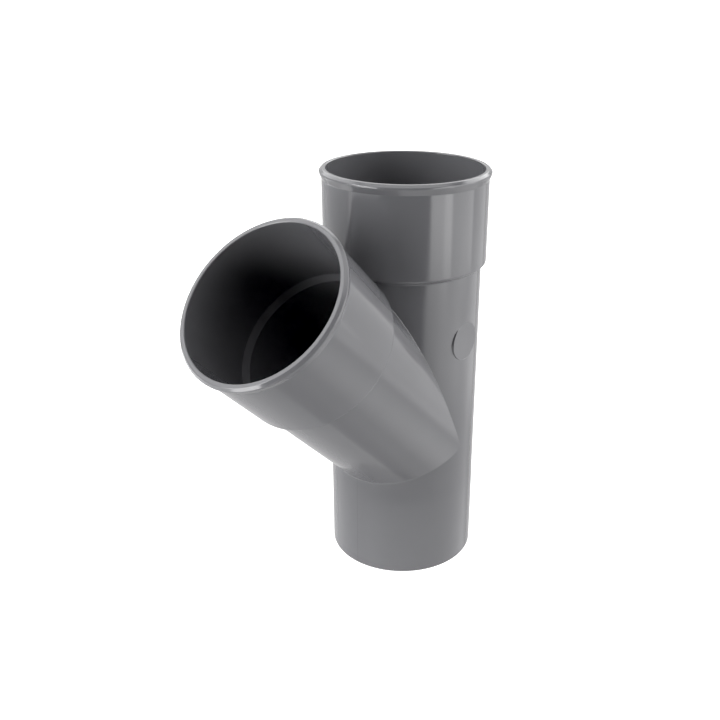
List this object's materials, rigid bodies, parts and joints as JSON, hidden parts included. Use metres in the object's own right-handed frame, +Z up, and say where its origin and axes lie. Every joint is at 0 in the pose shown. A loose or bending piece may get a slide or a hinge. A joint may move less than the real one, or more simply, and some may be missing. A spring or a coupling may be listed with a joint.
{
  "type": "lateral wye fitting",
  "caption": "Moulded drain pipe fitting: a straight tube, spigot below and lipped socket above, with a slanted side branch that ends in an equal socket.",
  "frame": {"origin": "centre of the spigot's lower end, on the main axis", "axes": "+Z up along the main tube's axis, towards its socket; the branch leans from it towards +X, in the XZ plane"},
  "size_m": [0.1775, 0.087, 0.2174],
  "materials": {
    "grey_plastic": "mid grey moulded plastic with a smooth, softly glossy skin"
  },
  "bodies": {
    "root": {"wye_fitting": "grey_plastic"}
  },
  "joints": []
}
